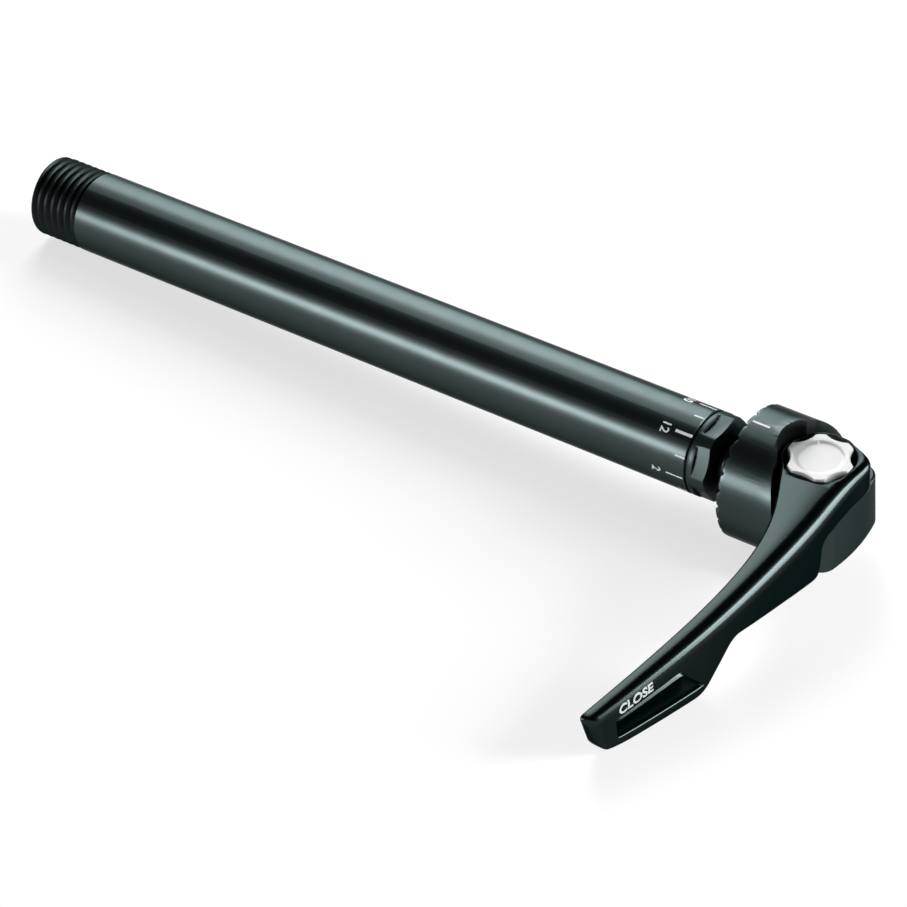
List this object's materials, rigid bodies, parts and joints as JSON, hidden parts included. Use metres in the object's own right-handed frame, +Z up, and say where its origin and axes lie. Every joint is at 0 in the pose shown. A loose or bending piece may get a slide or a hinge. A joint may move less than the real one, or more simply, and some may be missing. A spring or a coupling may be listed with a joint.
{
  "type": "bicycle thru axle",
  "caption": "Hollow bicycle thru axle, threaded at one end, with an indexed clamp head at the other that a cam lever closes and a star nut holds.",
  "frame": {"origin": "middle of the axle tube, on its axis", "axes": "+X along the axle from the threaded end to the lever head; +Z up with the axle lying on a table, resting on its collar, its threaded end and the lever's paddle"},
  "size_m": [0.1735, 0.0829, 0.0234],
  "materials": {
    "black_anodised": "satin black anodised",
    "bright_aluminium": "bright silver anodised",
    "steel": "zinc plated",
    "bronze": "plain bearing bronze",
    "slide_polymer": "matt"
  },
  "bodies": {
    "axle": {"axle_tube": "black_anodised", "index_plug": "black_anodised"},
    "bolt": {"retention_bolt": "steel", "bolt_washer": "steel"},
    "rod": {"draw_rod": "steel"},
    "housing": {"cam_housing": "black_anodised", "upper_cam_bush": "bronze", "lower_cam_bush": "bronze"},
    "lever": {"lever": "black_anodised", "cam_shaft": "steel", "star_nut": "bright_aluminium", "thrust_washer": "slide_polymer", "cam_shim": "steel", "cam_clip": "steel"}
  },
  "joints": [
    {"name": "head_index", "type": "hinge", "parent": "axle", "child": "bolt", "pos_m": [0.07165, 0, 0], "axis": [1, 0, 0], "continuous": true},
    {"name": "head_slide", "type": "slide", "parent": "bolt", "child": "rod", "axis": [1, 0, 0], "range_m": [-0.0072, 0]},
    {"name": "cam_slide", "type": "slide", "parent": "rod", "child": "housing", "axis": [1, 0, 0], "range_m": [0, 0.00115]},
    {"name": "lever_cam", "type": "hinge", "parent": "housing", "child": "lever", "pos_m": [0.09385, 0, 0], "axis": [0, -0.1658, 0.9862], "range_deg": [0, 90]}
  ],
  "couplings": [
    {"joint": "cam_slide", "follows": "lever_cam", "m_per_rad": 0.00073437}
  ]
}
